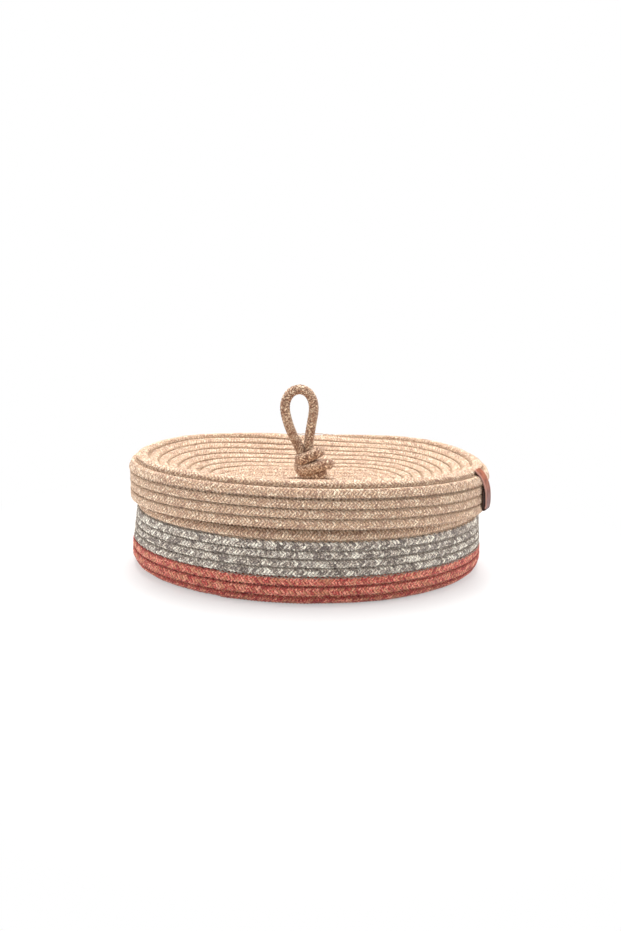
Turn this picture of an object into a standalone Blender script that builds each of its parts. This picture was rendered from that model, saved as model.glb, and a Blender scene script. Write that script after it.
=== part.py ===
"""Lidded oval basket coiled from braided cotton cord, with a knotted cord handle and a leather tag.

It stands on the plane z = 0 with its long side along X and its front towards -Y. The body is a flat
oval base coil that climbs into a wall of coral rows, thinner grey rows and beige rows, the beige ones
drawn in as a collar. The lid is one cord, coiled into a dish, over its rim and down into a skirt. Its
dish rests on the top of the collar, and the skirt hangs down round it. Sizes are in metres.
Run it with: blender --background --python part.py
"""

import math

import bmesh
import bpy
from mathutils import Vector

# Driving dimensions of the basket, over the lid
BASKET_LENGTH = 0.300
BASKET_WIDTH = 0.200
CORE_SHARE = 0.9
CORD_DIAMETER = 0.0069
GREY_CORD_DIAMETER = 0.0061
BEARING_GAP = 0.0003

# Rows of cord, bottom to top on the body and top to bottom on the lid
CORAL_WALL_ROWS = 3
GREY_ROWS = 4
COLLAR_ROWS = 4
SKIRT_ROWS = 4
COIL_PITCH = 0.0082
CORAL_PITCH = 0.0077
GREY_PITCH = 0.0066
COLLAR_PITCH = 0.0087
LID_PITCH = 0.0085

# Shape of the body's wall
FOOT_RADIUS = 0.008
FOOT_ROW_INSET = 0.0107
WALL_INSET = 0.0028
SHOULDER_INSET = 0.0017
COLLAR_CLEARANCE = 0.0012
COLLAR_LEAN = 0.27

# Shape of the lid
RIM_INSET = 0.0063
DISH_DEPTH = 0.0208

# Handle loop, its knot and its ends under the lid
LEG_AIR = 0.0008
LEG_LEAN = 0.2
KNOT_TURNS = 2
KNOT_PITCH = 0.0079
KNOT_SLOPE = 0.12
KNOT_AIR = 0.0005
PARTED_ROWS = 3
SLOT_AIR = 0.0006

# Leather tag over the lid's skirt
TAG_ANGLE = math.radians(-21.5)
TAG_WIDTH = 0.014
TAG_THICKNESS = 0.0016
TAG_BOW = 0.0022
TAG_EDGE_ROUND = 0.0004

# Facets of the cords
LOOP_POINTS = 24
INNER_LOOP_POINTS = 12
INNER_LOOPS = 10
COIL_SIDES_RESOLUTION = 1
HANDLE_SIDES_RESOLUTION = 2
CORNER_STEPS = 12
CUT_OVERRUN = 0.01

# A faceted coil cord stands on a corner and turns flat flanks to its neighbours in the same layer
CORD_RADIUS = CORD_DIAMETER / 2
CORNER_UP = math.pi / 6
CORD_FLANK = CORD_RADIUS * math.cos(CORNER_UP)
FOOT_CUT = CORD_DIAMETER / 10
LEG_HALF_SPACING = (CORD_DIAMETER + LEG_AIR) / 2

# The oval that the widest row's centre line follows, round the straight core that the coil starts on
OVAL_LENGTH = BASKET_LENGTH / 2 - CORD_FLANK
OVAL_WIDTH = BASKET_WIDTH / 2 - CORD_FLANK
CORE_HALF_LENGTH = (BASKET_LENGTH - BASKET_WIDTH) / 2 * CORE_SHARE

# Places in a turn of the coils, as angles from +X towards +Y
COIL_START = math.radians(240)
FIRST_CLIMB = (math.radians(465), math.radians(600))
WALL_CLIMB = (math.radians(420), math.radians(480))
LAST_ROW_END = math.radians(420)
TURN = 2 * math.pi

CORAL = (0.604, 0.117, 0.072)
GREY = (0.468, 0.423, 0.366)
BEIGE = (0.665, 0.434, 0.262)
HANDLE_BEIGE = (0.52, 0.31, 0.18)
LEATHER = (0.283, 0.102, 0.07)


def clear_scene():
    for ob in list(bpy.data.objects):
        bpy.data.objects.remove(ob, do_unlink=True)


def finish(name, colour, roughness):
    """A plain material in the piece's colour."""
    material = bpy.data.materials.new(name)
    material.use_nodes = True
    shader = material.node_tree.nodes["Principled BSDF"]
    shader.inputs["Base Color"].default_value = (*colour, 1)
    shader.inputs["Roughness"].default_value = roughness
    shader.inputs["Metallic"].default_value = 0
    return material


def smoothstep(share):
    share = min(max(share, 0), 1)
    return share * share * (3 - 2 * share)


def oval_point(angle, radius):
    """Where a row of the given half-width lies in plan. Rows are half-ovals scaled about the two
    ends of the core and joined by straight runs, so neighbours stay parallel."""
    share = radius / OVAL_WIDTH
    side = 0 if abs(math.cos(angle)) < 1e-9 else math.copysign(1, math.cos(angle))
    x = side * CORE_HALF_LENGTH * (1 - share) + OVAL_LENGTH * math.cos(angle) * share
    return x, radius * math.sin(angle)


class Profile:
    """The line in the (half-width, height) plane that a coil's rows lie along."""

    def __init__(self, points):
        self.points = [Vector(p) for p in points]
        self.marks = [0]
        for a, b in zip(self.points, self.points[1:]):
            self.marks.append(self.marks[-1] + (b - a).length)

    def at(self, mark):
        for i, end in enumerate(self.marks[1:]):
            if mark <= end or i == len(self.marks) - 2:
                start = self.marks[i]
                return self.points[i].lerp(self.points[i + 1], (mark - start) / (end - start))

    def next_row(self, mark, pitch):
        """The mark whose straight distance from this one is the pitch."""
        here = self.at(mark)
        low, high = mark, mark + 2 * pitch
        for _ in range(40):
            middle = (low + high) / 2
            if (self.at(middle) - here).length < pitch:
                low = middle
            else:
                high = middle
        return (low + high) / 2


class Coil:
    """Where the rows of a coil lie along its profile. The flat rows are evenly spaced up to
    flat_end, and each later row lies one step from the row before it."""

    def __init__(self, profile, flat_end, steps):
        self.profile = profile
        self.flat_rows = round(flat_end / COIL_PITCH + 0.5)
        self.flat_pitch = flat_end / (self.flat_rows - 0.5)
        self.steps = [self.flat_pitch] * self.flat_rows + steps

    def mark(self, row, climbed):
        """A row's mark where it has climbed this share of the way to the next row."""
        if row < self.flat_rows - 1:
            return self.flat_pitch * (row + 0.5 + climbed)
        after = self.steps[min(row + 1, len(self.steps) - 1)]
        step = self.steps[row] * (1 - climbed) + after * climbed
        return self.profile.next_row(self.mark(row - 1, climbed), step)

    def level(self, row):
        """The half-width and height of a row where it lies level."""
        return self.profile.at(self.mark(row, 0))

    def climbed(self, row, angle):
        """Rows lie level and climb to the next over a short stretch. On the innermost row that is
        round the end of the core, and it moves to the back on the outer ones."""
        share = min(row / (self.flat_rows - 2), 1)
        start = FIRST_CLIMB[0] * (1 - share) + WALL_CLIMB[0] * share
        end = FIRST_CLIMB[1] * (1 - share) + WALL_CLIMB[1] * share
        return smoothstep((angle - start) / (end - start))

    def rows(self, parted=0):
        """Each row's points, from its start at the left end round to where the next row starts."""
        found = []
        for row in range(len(self.steps)):
            count = INNER_LOOP_POINTS if row < INNER_LOOPS else LOOP_POINTS
            points = []
            for i in range(count):
                angle = COIL_START + TURN * i / count
                last = row == len(self.steps) - 1
                if last and angle > LAST_ROW_END + 1e-6:
                    break
                mark = self.mark(row, 0 if last else self.climbed(row, angle))
                radius, height = self.profile.at(mark)
                x, y = oval_point(angle, radius)
                if abs(x) < 1e-9 and row < PARTED_ROWS:
                    y += math.copysign(parted * (1 - row / PARTED_ROWS), y)
                points.append(Vector((x, y, height)))
            found.append(points)
        return found


def body_coil():
    """The base coil, the foot's rounding, the upright wall and, past its top grey row, the collar."""
    base_height = CORD_RADIUS - FOOT_CUT
    wall_width = OVAL_WIDTH - WALL_INSET
    points = [(0, base_height)]
    for i in range(CORNER_STEPS + 1):
        turn = math.pi / 2 * i / CORNER_STEPS
        points.append(
            (
                wall_width - FOOT_RADIUS * (1 - math.sin(turn)),
                base_height + FOOT_RADIUS * (1 - math.cos(turn)),
            )
        )
    change_of_pitch = (CORAL_PITCH + GREY_PITCH) / 2
    wall_rise = CORAL_PITCH * (CORAL_WALL_ROWS - 1) + change_of_pitch + GREY_PITCH * (GREY_ROWS - 1)
    for i in range(1, 2 * CORNER_STEPS + 1):
        share = i / CORNER_STEPS
        inset = SHOULDER_INSET * share * share
        points.append((wall_width - inset, base_height + FOOT_RADIUS + wall_rise * share))
    flat_end = wall_width - FOOT_ROW_INSET
    steps = [COIL_PITCH] + [CORAL_PITCH] * (CORAL_WALL_ROWS - 1)
    steps += [change_of_pitch] + [GREY_PITCH] * (GREY_ROWS - 1)
    wall = Coil(Profile(points), flat_end, steps)
    top_row = len(wall.steps) - 1
    shoulder, top_mark = wall.level(top_row), wall.mark(top_row, 0)

    kept = [p for p, mark in zip(wall.profile.points, wall.profile.marks) if mark < top_mark]
    collar_width = OVAL_WIDTH - 2 * CORD_FLANK - COLLAR_CLEARANCE
    collar_step = (GREY_PITCH + COLLAR_PITCH) / 2
    drawn_in = shoulder.x - collar_width
    collar_foot = shoulder.y + math.sqrt(collar_step**2 - drawn_in**2)
    rise = COLLAR_PITCH * COLLAR_ROWS
    kept += [shoulder, (collar_width, collar_foot)]
    kept.append((collar_width - rise * COLLAR_LEAN, collar_foot + rise))
    steps += [collar_step] + [COLLAR_PITCH] * (COLLAR_ROWS - 1)
    return Coil(Profile(kept), flat_end, steps)


def lid_coil(support):
    """The dish, from its middle out to the rim row, and the skirt that hangs from it. The underside
    of the dish rests on the support, the top row of the collar."""
    rim_width = OVAL_WIDTH - RIM_INSET
    share = support.x / rim_width
    dish_height = support.y + CORD_DIAMETER + BEARING_GAP - DISH_DEPTH * share * share
    points = []
    for i in range(2 * CORNER_STEPS + 1):
        share = i / (2 * CORNER_STEPS)
        points.append((rim_width * share, dish_height + DISH_DEPTH * share * share))
    flat_end = Profile(points).marks[-1]
    skirt_top = dish_height + DISH_DEPTH - math.sqrt(LID_PITCH**2 - RIM_INSET**2)
    points += [(OVAL_WIDTH, skirt_top), (OVAL_WIDTH, skirt_top - LID_PITCH * SKIRT_ROWS)]
    return Coil(Profile(points), flat_end, [LID_PITCH] * SKIRT_ROWS), dish_height


def cut_between(rows, first, last):
    """The points of rows first to last - 1 of a coil, from butt joint to butt joint. Each joint lies
    halfway along the stretch that begins the climb to the next row."""

    def joint(row, side):
        points = rows[row]
        per_turn = len(points)
        i = round((WALL_CLIMB[0] - COIL_START) / TURN * per_turn)
        a, b = points[i], points[i + 1]
        middle = (a + b) / 2 + side * (b - a).normalized() * BEARING_GAP / 2
        return i, middle

    points = []
    if first > 0:
        i, place = joint(first - 1, 1)
        points.append(place)
        points += rows[first - 1][i + 1 :]
    for row in range(first, last - 1):
        points += rows[row]
    if last == len(rows):
        points += rows[last - 1]
    else:
        i, place = joint(last - 1, -1)
        points += rows[last - 1][: i + 1]
        points.append(place)
    return points


def cord(name, points, diameter, resolution, material, lying=True):
    """A cord as a tube along its centre line, with closed ends. A lying cord has a corner on top."""
    curve = bpy.data.curves.new(name, "CURVE")
    curve.dimensions = "3D"
    curve.twist_mode = "Z_UP" if lying else "MINIMUM"
    curve.bevel_depth = diameter / 2
    curve.bevel_resolution = resolution
    curve.use_fill_caps = True
    spline = curve.splines.new("POLY")
    spline.points.add(len(points) - 1)
    for place, point in zip(spline.points, points):
        place.co = (*point, 1)
        place.tilt = CORNER_UP if lying else 0
    curve.materials.append(material)
    ob = bpy.data.objects.new(name, curve)
    bpy.context.collection.objects.link(ob)
    return ob


def shortest_link(a, b, c, d):
    """The shortest vector between the segments ab and cd."""
    u, v, w = b - a, d - c, a - c
    uu, uv, vv, uw, vw = u.dot(u), u.dot(v), v.dot(v), u.dot(w), v.dot(w)
    crossing = uu * vv - uv * uv
    s = min(max((uv * vw - vv * uw) / crossing, 0), 1) if crossing > 1e-18 else 0
    t = (uv * s + vw) / vv
    if t < 0 or t > 1:
        t = min(max(t, 0), 1)
        s = min(max((uv * t - uw) / uu, 0), 1)
    return w + u * s - v * t


def reach(direction, radius):
    """How far a lying six-sided cord reaches from its centre line in a direction across it."""
    slope = math.atan2(math.hypot(direction.x, direction.y), abs(direction.z))
    off_corner = abs(slope - math.pi / 3 * round(slope / (math.pi / 3)))
    return radius * math.cos(off_corner)


def print_least_gap(name, points, diameter, lying=True):
    """Prints the least air between turns of one tube, leaving out the tube's own near stretches."""
    marks = [0]
    for a, b in zip(points, points[1:]):
        marks.append(marks[-1] + (b - a).length)
    least = math.inf
    for i in range(len(points) - 1):
        for j in range(i + 2, len(points) - 1):
            if marks[j] - marks[i + 1] < 1.4 * diameter:
                continue
            if (points[i] - points[j]).length > 12 * diameter:
                continue
            link = shortest_link(points[i], points[i + 1], points[j], points[j + 1])
            taken = 2 * reach(link, diameter / 2) if lying else diameter
            least = min(least, link.length - taken)
    print(f"{name}: least gap to itself {least * 1000:.2f} mm")


def stand_flat(ob):
    """Cuts the cord flat where the basket stands on it."""
    cutter_mesh = bpy.data.meshes.new("floor_cutter")
    bm = bmesh.new()
    bmesh.ops.create_cube(bm, size=1)
    size = (
        BASKET_LENGTH + 2 * CUT_OVERRUN,
        BASKET_WIDTH + 2 * CUT_OVERRUN,
        CUT_OVERRUN,
    )
    bmesh.ops.scale(bm, vec=size, verts=bm.verts)
    bmesh.ops.translate(bm, vec=(0, 0, -CUT_OVERRUN / 2), verts=bm.verts)
    bm.to_mesh(cutter_mesh)
    bm.free()
    cutter = bpy.data.objects.new("floor_cutter", cutter_mesh)
    bpy.context.collection.objects.link(cutter)
    cutter.hide_render = True
    cutter.display_type = "WIRE"
    cut = ob.modifiers.new("stand_flat", "BOOLEAN")
    cut.operation = "DIFFERENCE"
    cut.object = cutter


def as_mesh(ob):
    """The same tube as a mesh object, with its end caps sewn to it."""
    name, material = ob.name, ob.data.materials[0]
    graph = bpy.context.evaluated_depsgraph_get()
    mesh = bpy.data.meshes.new_from_object(ob.evaluated_get(graph))
    bpy.data.objects.remove(ob, do_unlink=True)
    bm = bmesh.new()
    bm.from_mesh(mesh)
    bmesh.ops.remove_doubles(bm, verts=bm.verts, dist=CORD_DIAMETER * 1e-4)
    bmesh.ops.recalc_face_normals(bm, faces=bm.faces)
    bm.to_mesh(mesh)
    bm.free()
    mesh.materials.clear()
    mesh.materials.append(material)
    mesh.name = name
    made = bpy.data.objects.new(name, mesh)
    bpy.context.collection.objects.link(made)
    return made


def smooth_route(points, steps):
    """A smooth curve through the points, with this many steps between neighbours."""
    padded = [2 * points[0] - points[1], *points, 2 * points[-1] - points[-2]]
    route = []
    for p0, p1, p2, p3 in zip(padded, padded[1:], padded[2:], padded[3:]):
        for i in range(steps):
            t = i / steps
            route.append(
                0.5
                * (
                    2 * p1
                    + (p2 - p0) * t
                    + (2 * p0 - 5 * p1 + 4 * p2 - p3) * t * t
                    + (3 * p1 - p0 - 3 * p2 + p3) * t * t * t
                )
            )
    route.append(points[-1])
    return route


# The handle's loop above the knot, as (x, height over the lid) in metres from the left leg round to
# the right one, and an end beneath the lid, as (x, height) from the slot outwards
LOOP_ROUTE = [
    (-0.0113, 0.0290),
    (-0.0164, 0.0385),
    (-0.0206, 0.0490),
    (-0.0230, 0.0590),
    (-0.0223, 0.0665),
    (-0.0184, 0.0730),
    (-0.0115, 0.0758),
    (-0.0048, 0.0735),
    (-0.0006, 0.0675),
    (0.0009, 0.0595),
    (0.0003, 0.0490),
    (-0.0007, 0.0385),
    (-0.0010, 0.0290),
]
END_ROUTE = [
    (0.0042, -0.0070),
    (0.0057, -0.0106),
    (0.0092, -0.0129),
    (0.0142, -0.0131),
    (0.0200, -0.0119),
    (0.0265, -0.0110),
    (0.0330, -0.0108),
]
LEG_HEIGHTS = (0, 0.007, 0.014, 0.021)


def leg_centre(height):
    """Where the middle between the two legs lies, leaning left as it rises."""
    return -LEG_LEAN * height


def handle_route(top):
    left_end = [(-x, z) for x, z in reversed(END_ROUTE)]
    left_leg = [(leg_centre(z) - LEG_HALF_SPACING, z) for z in LEG_HEIGHTS]
    right_leg = [(leg_centre(z) + LEG_HALF_SPACING, z) for z in reversed(LEG_HEIGHTS)]
    flat = left_end + left_leg + LOOP_ROUTE + right_leg + END_ROUTE
    return smooth_route([Vector((x, 0, top + z)) for x, z in flat], 2)


def knot_route(top):
    """Turns round both legs, each in a race-track plan, sloping up to the right in front. The
    lowest turn bears on the lid."""
    reach = CORD_DIAMETER + KNOT_AIR
    turns = []
    per_turn = 18
    for i in range(KNOT_TURNS * per_turn + 1):
        angle = math.pi / 2 + TURN * i / per_turn
        cos, sin = math.cos(angle), math.sin(angle)
        side = 0 if abs(cos) < 1e-9 else math.copysign(1, cos)
        across = side * LEG_HALF_SPACING + reach * cos
        turns.append((across, reach * sin, KNOT_PITCH * i / per_turn + KNOT_SLOPE * across))
    lift = CORD_RADIUS + BEARING_GAP - min(height for _, _, height in turns)
    points = []
    for across, y, height in turns:
        height += lift
        points.append(Vector((leg_centre(height) + across, y, top + height)))
    return points


def tag_frame(width):
    """The tag's middle in plan, its outward direction and its direction along the skirt."""
    x, y = oval_point(TAG_ANGLE, width)
    share = width / OVAL_WIDTH
    length = CORE_HALF_LENGTH * (1 - share) + OVAL_LENGTH * share
    outward = Vector((math.cos(TAG_ANGLE) / length, math.sin(TAG_ANGLE) / width, 0)).normalized()
    along = Vector((-outward.y, outward.x, 0))
    return Vector((x, y, 0)), outward, along


def strip_line(lid):
    """The tag's inner face in the (outward, height) plane: it bears on the rim row at the top and on
    the last row of the skirt at the bottom, and bows out between them."""
    rim_row = lid.flat_rows - 1
    rim = lid.level(rim_row)
    first = lid.level(rim_row + 1)
    last = lid.level(rim_row + SKIRT_ROWS)
    skirt = first.x
    off_face, off_corner = CORD_FLANK + BEARING_GAP, CORD_RADIUS + BEARING_GAP
    crest, face, corner = 3.2 * CORNER_UP, 2 * CORNER_UP, CORNER_UP
    head = Vector((rim.x - skirt + off_face * math.cos(crest), rim.y + off_face * math.sin(crest)))
    top = Vector((rim.x - skirt + off_face * math.cos(face), rim.y + off_face * math.sin(face)))
    shoulder = Vector((off_corner * math.cos(corner), first.y + off_corner * math.sin(corner)))
    middle = Vector((off_face + TAG_BOW, (first.y + last.y) / 2))
    foot = Vector((off_face, last.y))
    points = [
        head,
        top,
        shoulder + Vector((TAG_BOW / 3, TAG_BOW / 3)),
        middle,
        foot,
    ]
    return skirt, points


def leather_tag(lid, material):
    """A strip bent over the rim and down the skirt, made by extruding its bent side."""
    skirt, line = strip_line(lid)
    route = smooth_route([p.to_3d() for p in line], 4)
    centre, outward, along = tag_frame(skirt)
    bm = bmesh.new()
    inner, outer = [], []
    for i, p in enumerate(route):
        before, after = route[max(i - 1, 0)], route[min(i + 1, len(route) - 1)]
        run = (after - before).normalized()
        out = Vector((-run.y, run.x, 0))
        for points, depth in ((inner, 0), (outer, TAG_THICKNESS)):
            q = p + out * depth
            place = centre + outward * q.x + Vector((0, 0, q.y)) - along * TAG_WIDTH / 2
            points.append(bm.verts.new(place))
    side = bm.faces.new(inner + outer[::-1])
    grown = bmesh.ops.extrude_face_region(bm, geom=[side])
    verts = [v for v in grown["geom"] if isinstance(v, bmesh.types.BMVert)]
    bmesh.ops.translate(bm, vec=along * TAG_WIDTH, verts=verts)
    bmesh.ops.recalc_face_normals(bm, faces=bm.faces)
    mesh = bpy.data.meshes.new("leather_tag")
    bm.to_mesh(mesh)
    bm.free()
    mesh.materials.append(material)
    ob = bpy.data.objects.new("leather_tag", mesh)
    bpy.context.collection.objects.link(ob)
    edge = ob.modifiers.new("edge", "BEVEL")
    edge.width = TAG_EDGE_ROUND
    edge.segments = 1
    edge.limit_method = "ANGLE"
    edge.angle_limit = math.radians(50)
    return ob


def build():
    clear_scene()
    beige = finish("beige_cord", BEIGE, 0.9)
    body = body_coil()
    grey_start = body.flat_rows + CORAL_WALL_ROWS
    collar_start = grey_start + GREY_ROWS
    body_rows = body.rows()
    coral, grey = finish("coral_cord", CORAL, 0.9), finish("grey_cord", GREY, 0.9)
    lengths_of_cord = (
        ("coral_cord", 0, grey_start, CORD_DIAMETER, coral),
        ("grey_cord", grey_start, collar_start, GREY_CORD_DIAMETER, grey),
        ("collar_cord", collar_start, len(body_rows), CORD_DIAMETER, beige),
    )
    for name, first, last, diameter, material in lengths_of_cord:
        points = cut_between(body_rows, first, last)
        ob = cord(name, points, diameter, COIL_SIDES_RESOLUTION, material)
        if first == 0:
            stand_flat(as_mesh(ob))
        print_least_gap(name, points, diameter)

    lid, dish_height = lid_coil(body.level(len(body.steps) - 1))
    slot = CORD_FLANK + CORD_RADIUS + SLOT_AIR - lid.flat_pitch / 2
    lid_rows = lid.rows(parted=slot)
    points = cut_between(lid_rows, 0, len(lid_rows))
    cord("lid_cord", points, CORD_DIAMETER, COIL_SIDES_RESOLUTION, beige)
    print_least_gap("lid_cord", points, CORD_DIAMETER)

    top = dish_height + CORD_RADIUS
    handle_beige = finish("handle_cord", HANDLE_BEIGE, 0.9)
    points = handle_route(top)
    cord("handle_cord", points, CORD_DIAMETER, HANDLE_SIDES_RESOLUTION, handle_beige, lying=False)
    print_least_gap("handle_cord", points, CORD_DIAMETER, lying=False)
    points = knot_route(top)
    cord("handle_knot", points, CORD_DIAMETER, COIL_SIDES_RESOLUTION, handle_beige)
    print_least_gap("handle_knot", points, CORD_DIAMETER)

    leather_tag(lid, finish("leather", LEATHER, 0.55))


build()
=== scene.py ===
"""Dressed model of a lidded oval basket, sewn from coiled braided cotton cord.

Every cord is a braided tube along the route that its plain solid takes in the frame. The sections
follow the basket from its bottom to its leather tag. Sizes are in metres.
"""

import math

import bpy
import numpy as np
from mathutils import Matrix


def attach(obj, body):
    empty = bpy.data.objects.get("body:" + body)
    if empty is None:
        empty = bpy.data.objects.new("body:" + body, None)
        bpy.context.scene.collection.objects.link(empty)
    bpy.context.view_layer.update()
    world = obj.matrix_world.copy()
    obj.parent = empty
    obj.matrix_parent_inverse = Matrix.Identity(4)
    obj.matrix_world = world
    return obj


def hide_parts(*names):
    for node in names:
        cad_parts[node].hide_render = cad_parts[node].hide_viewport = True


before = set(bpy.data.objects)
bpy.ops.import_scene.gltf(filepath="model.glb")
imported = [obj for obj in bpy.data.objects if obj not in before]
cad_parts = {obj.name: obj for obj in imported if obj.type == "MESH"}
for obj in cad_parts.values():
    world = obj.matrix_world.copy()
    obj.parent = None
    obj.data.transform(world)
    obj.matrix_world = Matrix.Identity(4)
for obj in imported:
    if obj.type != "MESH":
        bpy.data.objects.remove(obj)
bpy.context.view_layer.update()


# Coral cord. One long braided cotton cord, coiled flat in an oval for the bottom and turned up into
# the first three rows of the wall. Each turn is machine sewn to the turn before with a zigzag.

OVAL_LENGTH, OVAL_WIDTH = 0.14701, 0.09701  # half sizes of the widest row's centre line
CORE_HALF_LENGTH = 0.045  # of the straight run that the coils start on
STRAIGHT = 0.5  # how much of the turn parameter each straight side takes, in radians
LAP = 2 * math.pi + 2 * STRAIGHT
LAP_KNOTS = np.cumsum([0, math.pi / 2, STRAIGHT, math.pi, STRAIGHT, math.pi / 2])
LAP_ANGLES = np.radians([0, 90, 90, 270, 270, 360])
LAP_SIDES = (1, 1, -1, -1, 1, 1)  # end of the core that each part of a lap goes round
ROW_START, ROW_END = 240, 600  # degrees from +X towards +Y
FIRST_CLIMB = np.radians([465, 600])  # where the innermost row climbs to the next
WALL_CLIMB = np.radians([420, 480])  # where the rows of the wall do
CLIMB_SHARES = np.linspace(0, 1, 13)
PROFILE_TRIES = 600
ROW_POINTS = 500


def profile(points):
    """A line in the (half-width, height) plane, with the distance along it of each point."""
    points = np.array(points)
    lengths = np.hypot(*np.diff(points, axis=0).T)
    return np.concatenate(([0], np.cumsum(lengths))), points[:, 0], points[:, 1]


def on_profile(line, mark):
    """The half-width and height at a distance along a profile."""
    marks, widths, heights = line
    return np.interp(mark, marks, widths), np.interp(mark, marks, heights)


def next_row(line, mark, pitch):
    """The mark whose straight distance from this one is the pitch."""
    width, height = on_profile(line, mark)
    tries = mark + np.linspace(0, 2 * pitch, PROFILE_TRIES)
    widths, heights = on_profile(line, tries)
    return np.interp(pitch, np.hypot(widths - width, heights - height), tries)


def new_coil(line, flat_rows, flat_pitch, steps, outside):
    """A coil on a profile: where each of its rows lies along it, at every share of the climb to the
    next row, and each row's half height. Its outside is 1 or -1, for the side that shows."""
    steps = [flat_pitch] * flat_rows + steps
    table = np.zeros((len(steps), len(CLIMB_SHARES)))
    for column, share in enumerate(CLIMB_SHARES):
        for row in range(len(steps)):
            if row < flat_rows - 1:
                table[row, column] = flat_pitch * (row + 0.5 + share)
                continue
            after = steps[min(row + 1, len(steps) - 1)]
            step = steps[row] * (1 - share) + after * share
            table[row, column] = next_row(line, table[row - 1, column], step)
    halves = [(a + b) / 4 for a, b in zip(steps, steps[1:] + steps[-1:])]
    return {
        "line": line,
        "flat_rows": flat_rows,
        "table": table,
        "halves": np.array(halves),
        "outside": outside,
    }


def smoothstep(share):
    """A share that sets off and arrives gently."""
    share = np.clip(share, 0, 1)
    return share * share * (3 - 2 * share)


def on_coil(coil, turn, mark):
    """The places on a coil's surface at a turn parameter, which counts from +X towards +Y."""
    part = turn - np.floor(turn / LAP) * LAP
    angle = np.interp(part, LAP_KNOTS, LAP_ANGLES)
    side = np.interp(part, LAP_KNOTS, LAP_SIDES)
    width, height = on_profile(coil["line"], mark)
    share = width / OVAL_WIDTH
    x = side * CORE_HALF_LENGTH * (1 - share) + OVAL_LENGTH * share * np.cos(angle)
    return np.stack([x, width * np.sin(angle), height], axis=-1)


def turn_at(degrees):
    """The turn parameter for an angle in plan."""
    laps, part = divmod(math.radians(degrees), 2 * math.pi)
    rising = np.radians([0, 90, 90.001, 270, 270.001, 360])  # with no angle twice
    return laps * LAP + np.interp(part, rising, LAP_KNOTS)


def row_marks(coil, row, turn):
    """A row's marks along the profile, with its climb to the next row, and its half height."""
    laps = np.floor(turn / LAP)
    angle = np.interp(turn - laps * LAP, LAP_KNOTS, LAP_ANGLES)
    angle += laps * 2 * math.pi
    share = min(row / (coil["flat_rows"] - 2), 1)
    start, end = FIRST_CLIMB * (1 - share) + WALL_CLIMB * share
    last = len(coil["table"]) - 1
    climbed = smoothstep((angle - start) / (end - start)) * (row < last)
    mark = np.interp(climbed, CLIMB_SHARES, coil["table"][row])
    halves = coil["halves"]
    return mark, halves[row] * (1 - climbed) + halves[min(row + 1, last)] * climbed


def unit(vectors):
    """Vectors of length one, with a zero vector left as it is."""
    lengths = np.linalg.norm(vectors, axis=-1, keepdims=True)
    return vectors / np.maximum(lengths, 1e-12)


def square_to(run, out):
    """Outward directions made square to the direction along."""
    return unit(out - run * np.sum(out * run, axis=1, keepdims=True))


def evenly(places, others, step):
    """Places along a route, one step apart, with other values carried along."""
    lengths = np.linalg.norm(np.diff(places, axis=0), axis=1)
    marks = np.concatenate(([0], np.cumsum(lengths)))
    wanted = np.linspace(0, marks[-1], round(marks[-1] / step) + 1)

    def carried(values):
        if values.ndim == 1:
            return np.interp(wanted, marks, values)
        return np.stack([np.interp(wanted, marks, column) for column in values.T], axis=1)

    return wanted, carried(places), [carried(values) for values in others]


def coil_route(coil, start, end, step, between=0):
    """An evenly spaced route along a coil, from one (row, degrees) to another: the distance along,
    the place, the direction along, the outward direction and the half height of the row. With
    between, the share of the way to the next row, it runs in the groove instead."""
    places, outs, halves = [], [], []
    for row in range(start[0], end[0] + 1):
        first = turn_at(start[1] if row == start[0] else ROW_START)
        final = turn_at(end[1] if row == end[0] else ROW_END)
        turn = np.linspace(first, final, ROW_POINTS)
        mark, half = row_marks(coil, row, turn)
        if between:
            above, _ = row_marks(coil, row + 1, turn)
            mark = mark * (1 - between) + above * between
        place = on_coil(coil, turn, mark)
        across = unit(on_coil(coil, turn, mark + half / 2) - on_coil(coil, turn, mark - half / 2))
        run = unit(np.gradient(place, axis=0))
        places.append(place[:-1])
        outs.append((np.cross(run, across) * coil["outside"])[:-1])
        halves.append(half[:-1])
    along, place, (out, half) = evenly(
        np.concatenate(places), [np.concatenate(outs), np.concatenate(halves)], step
    )
    run = unit(np.gradient(place, axis=0))
    return along, place, run, square_to(run, out), half


STRANDS = 8  # of the braid, in each of its two directions
STRAND_STEP = 0.0026  # between strands along the cord
PLIES = 3  # in a strand
STRAND_FULLNESS = 2.5  # of a strand's section, where 2 is a parabola
FLOAT_ARCH = 0.55  # share of a strand's height that it gains as it passes over the others
AROUND = 3 * STRANDS  # points round a braided tube
SECTION_POINTS = 721
SQUARENESS = 3.8  # of a sewn cord's section, where 2 is an ellipse
BRAID_RELIEF = 0.00034
BRAID_TWIST = 0.35  # turns in a metre
BRAID_PHASE = 0.0001  # of a strand, so that no point lies on the edge between two
STITCH_OPENING = 0.0009  # of the groove between two stitches, from the cord on one side
STITCH_SQUEEZE = 0.0001  # of a cord against the next one, where it is sewn to it
STITCH_HOLD = 1.3  # how far a stitch keeps the groove shut, where 1 is at its own place alone
FLANK_SLOPE = 2.5  # of the dent across the cord's flank
DENT_FLATTENING = 0.15  # share of the cord's height that a dent takes away
WAVE_LENGTHS = (0.019, 0.031, 0.067, 0.143)  # of the unevenness of a hand-guided cord
ROUTE_WANDER = 0.00012
THICKNESS_WANDER = 0.018  # share of the thickness
END_RINGS = ((0.5, 0.8), (0.65, 0.35))  # past an end in half heights, with a share of its size


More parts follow.
